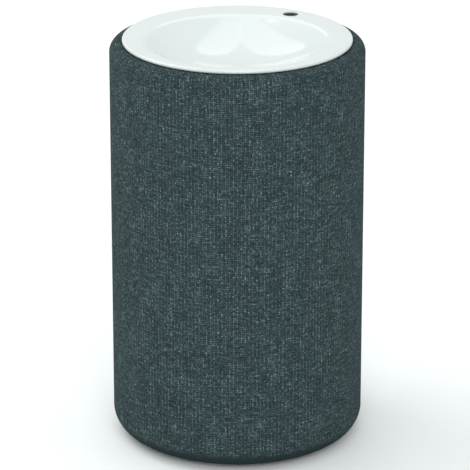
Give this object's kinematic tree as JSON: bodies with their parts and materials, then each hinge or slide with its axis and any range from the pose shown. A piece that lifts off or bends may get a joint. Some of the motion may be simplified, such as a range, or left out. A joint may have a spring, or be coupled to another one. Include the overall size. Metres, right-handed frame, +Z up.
{
  "type": "smart speaker",
  "caption": "Cylindrical voice-assistant speaker wrapped in dark grey woven fabric, with a glossy white dished top and a down-firing woofer inside.",
  "frame": {"origin": "middle of the base, on the surface the speaker stands on", "axes": "+Z up along the body, -Y towards the front, +Y towards the connection panel"},
  "size_m": [0.1, 0.1005, 0.164],
  "materials": {
    "sleeve_fabric": "woven melange, matte",
    "white_gloss": "polished",
    "black_plastic": "fine moulded texture",
    "panel_plastic": "satin",
    "button_plastic": "satin",
    "foot_rubber": "matte",
    "black_rubber": "matte",
    "smoked_window": "polished",
    "basket_metal": "satin",
    "plated_steel": "zinc plated",
    "screw_steel": "plated",
    "ferrite": "sintered",
    "nickel": "satin nickel",
    "copper": "enamelled wire",
    "cone_paper": "pressed pulp",
    "dome_fabric": "doped silk",
    "spider_cloth": "resin-dipped cloth",
    "circuit_board": "solder mask",
    "component_black": "moulded",
    "connector_plastic": "moulded",
    "antenna_film": "film over copper",
    "led_lens": "clear",
    "lead_insulation": "flexible",
    "spreader_aluminium": "bead blasted"
  },
  "bodies": {
    "speaker": {"fabric_sleeve": "sleeve_fabric", "grille_tube": "black_plastic", "base_plate": "black_plastic", "foot_ring": "foot_rubber", "base_screws": "screw_steel", "bottom_shell": "black_plastic", "deflector_cone": "black_plastic", "enclosure": "black_plastic", "enclosure_gasket": "black_rubber", "enclosure_lid": "black_plastic", "lid_screws": "screw_steel", "pillar_screws": "screw_steel", "woofer_frame": "basket_metal", "woofer_surround": "black_rubber", "woofer_spider": "spider_cloth", "woofer_top_plate": "plated_steel", "woofer_magnet": "ferrite", "woofer_yoke": "plated_steel", "woofer_screws": "screw_steel", "tweeter_frame": "black_plastic", "tweeter_surround": "black_rubber", "tweeter_magnet": "nickel", "tweeter_cup": "plated_steel", "tweeter_screws": "screw_steel", "tweeter_diffuser": "black_plastic", "board_tray": "black_plastic", "tray_screws": "screw_steel", "main_board": "circuit_board", "shield_cans": "nickel", "heat_spreader": "spreader_aluminium", "capacitors": "component_black", "board_connectors": "connector_plastic", "board_screws": "screw_steel", "wifi_antennas": "antenna_film", "top_frame": "black_plastic", "frame_screws": "screw_steel", "mic_board": "circuit_board", "microphones": "nickel", "status_leds": "led_lens", "mic_board_screws": "screw_steel", "touch_film": "antenna_film", "ribbon_cable": "connector_plastic", "sensor_boot": "black_rubber", "sensor_window": "smoked_window", "top_dish": "white_gloss", "dish_screws": "screw_steel", "rear_panel": "panel_plastic", "mute_switch": "component_black", "power_jack": "component_black", "power_board": "circuit_board", "power_board_screws": "screw_steel", "speaker_leads": "lead_insulation"},
    "woofer_diaphragm": {"woofer_cone": "cone_paper", "woofer_dust_cap": "cone_paper", "woofer_voice_coil": "copper"},
    "tweeter_diaphragm": {"tweeter_dome": "dome_fabric", "tweeter_coil": "copper"},
    "mute_button": {"mute_button": "button_plastic"}
  },
  "joints": [
    {"name": "woofer_travel", "type": "slide", "parent": "speaker", "child": "woofer_diaphragm", "axis": [0, 0, 1], "range_m": [-0.0025, 0.0025], "stiffness_N_per_m": 900, "deforming": ["woofer_surround", "woofer_spider"]},
    {"name": "tweeter_travel", "type": "slide", "parent": "speaker", "child": "tweeter_diaphragm", "axis": [0, 0, 1], "range_m": [-0.0003, 0.0003], "stiffness_N_per_m": 2000, "deforming": ["tweeter_surround"]},
    {"name": "mute_press", "type": "slide", "parent": "speaker", "child": "mute_button", "axis": [0, -1, 0], "range_m": [0, 0.0008], "stiffness_N_per_m": 1500}
  ]
}
